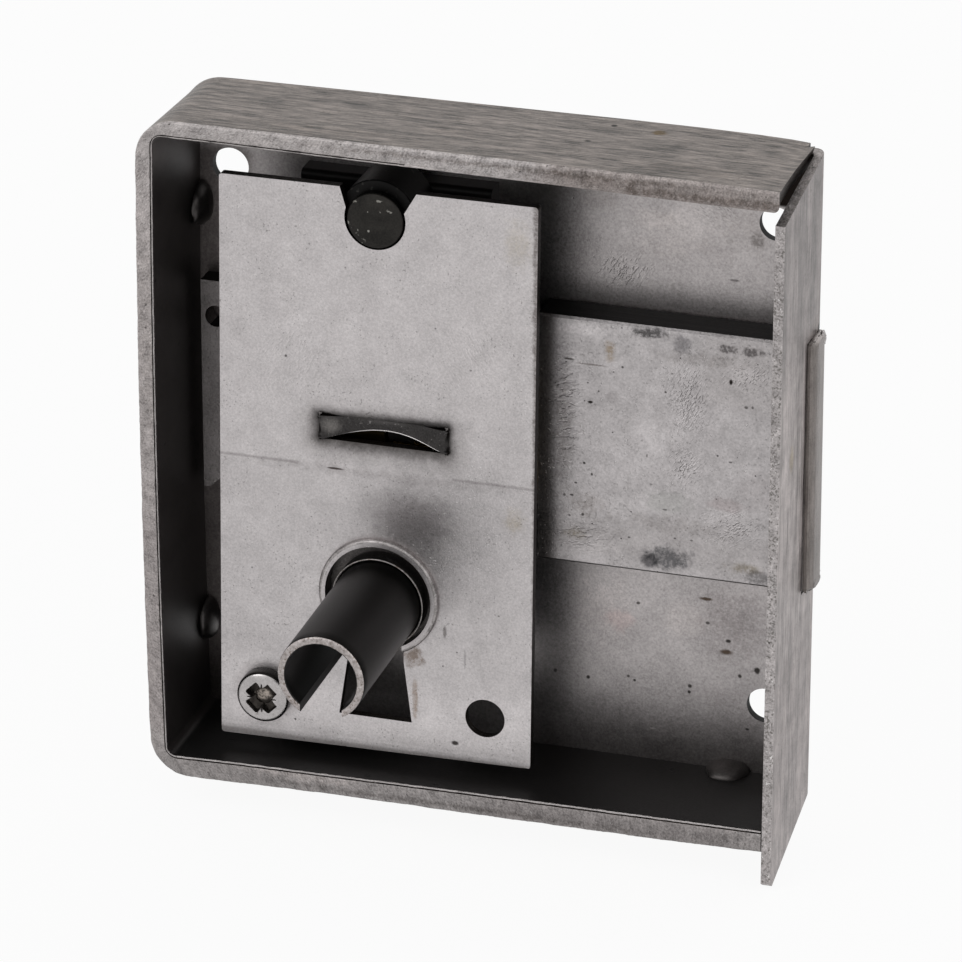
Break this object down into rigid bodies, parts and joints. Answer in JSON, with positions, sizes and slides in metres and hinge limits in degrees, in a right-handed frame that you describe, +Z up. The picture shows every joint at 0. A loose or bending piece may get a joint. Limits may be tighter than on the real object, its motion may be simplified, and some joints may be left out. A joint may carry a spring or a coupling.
{
  "type": "cabinet rim lock",
  "caption": "Open-backed steel rim lock for a cabinet door: folded case, flat bolt, lever pack behind a pierced cover plate, and a slit key pipe that turns.",
  "frame": {"origin": "centre of the four fixing holes on the outer face of the case plate", "axes": "+X out of the forend along the bolt's throw, +Y out of the closed face of the case, +Z up"},
  "size_m": [0.1021, 0.044, 0.1129],
  "materials": {
    "case_plate": "raw sheet steel, mottled, drawn streaks on the forend",
    "rim_strip": "raw flat bar, drawn streaks along its length, sheared edges",
    "rim_welds": "dark weld beads",
    "cover_plate": "pale raw sheet steel with fine specks",
    "cover_screw": "bright zinc plated",
    "cover_stud": "turned steel",
    "locating_post": "dark turned steel with a few bright specks",
    "post_pad": "dark raw steel",
    "lever_pivot": "turned steel",
    "lever_spacers": "thin steel washers",
    "bolt": "mottled raw steel with pits and oily marks",
    "bolt_stump": "raw steel",
    "key_pipe": "dark rolled steel with a bright cut end",
    "curtain_disc": "dark steel with a bright edge",
    "thrust_ring": "dark steel",
    "lever_1": "punched brass sheet",
    "lever_2": "punched brass sheet",
    "lever_3": "punched brass sheet",
    "lever_4": "punched brass sheet",
    "lever_spring_1": "spring steel strip",
    "lever_spring_2": "spring steel strip",
    "lever_spring_3": "spring steel strip",
    "lever_spring_4": "spring steel strip"
  },
  "bodies": {
    "case": {"case_plate": "case_plate", "rim_strip": "rim_strip", "rim_welds": "rim_welds", "cover_plate": "cover_plate", "cover_screw": "cover_screw", "cover_stud": "cover_stud", "locating_post": "locating_post", "post_pad": "post_pad", "lever_pivot": "lever_pivot", "lever_spacers": "lever_spacers"},
    "bolt_body": {"bolt": "bolt", "bolt_stump": "bolt_stump"},
    "barrel": {"key_pipe": "key_pipe", "curtain_disc": "curtain_disc", "thrust_ring": "thrust_ring"},
    "lever_body_1": {"lever_1": "lever_1", "lever_spring_1": "lever_spring_1"},
    "lever_body_2": {"lever_2": "lever_2", "lever_spring_2": "lever_spring_2"},
    "lever_body_3": {"lever_3": "lever_3", "lever_spring_3": "lever_spring_3"},
    "lever_body_4": {"lever_4": "lever_4", "lever_spring_4": "lever_spring_4"}
  },
  "joints": [
    {"name": "bolt_slide", "type": "slide", "parent": "case", "child": "bolt_body", "axis": [1, 0, 0], "range_m": [0, 0.014]},
    {"name": "barrel_turn", "type": "hinge", "parent": "case", "child": "barrel", "pos_m": [-0.01475, -0.0215, -0.0233], "axis": [0, -1, 0], "continuous": true},
    {"name": "lever_1_lift", "type": "hinge", "parent": "case", "child": "lever_body_1", "pos_m": [-0.02635, -0.0095, 0.0041], "axis": [0, -1, 0], "range_deg": [0, 12.5], "deforming": ["lever_spring_1"]},
    {"name": "lever_2_lift", "type": "hinge", "parent": "case", "child": "lever_body_2", "pos_m": [-0.02635, -0.0095, 0.0041], "axis": [0, -1, 0], "range_deg": [0, 11.5], "deforming": ["lever_spring_2"]},
    {"name": "lever_3_lift", "type": "hinge", "parent": "case", "child": "lever_body_3", "pos_m": [-0.02635, -0.0095, 0.0041], "axis": [0, -1, 0], "range_deg": [0, 13], "deforming": ["lever_spring_3"]},
    {"name": "lever_4_lift", "type": "hinge", "parent": "case", "child": "lever_body_4", "pos_m": [-0.02635, -0.0095, 0.0041], "axis": [0, -1, 0], "range_deg": [0, 12], "deforming": ["lever_spring_4"]}
  ],
  "couplings": [
    {"joint": "lever_1_lift", "follows": "bolt_slide", "rad_per_m": 14.96},
    {"joint": "lever_2_lift", "follows": "bolt_slide", "rad_per_m": 13.713},
    {"joint": "lever_3_lift", "follows": "bolt_slide", "rad_per_m": 15.583},
    {"joint": "lever_4_lift", "follows": "bolt_slide", "rad_per_m": 14.337}
  ]
}
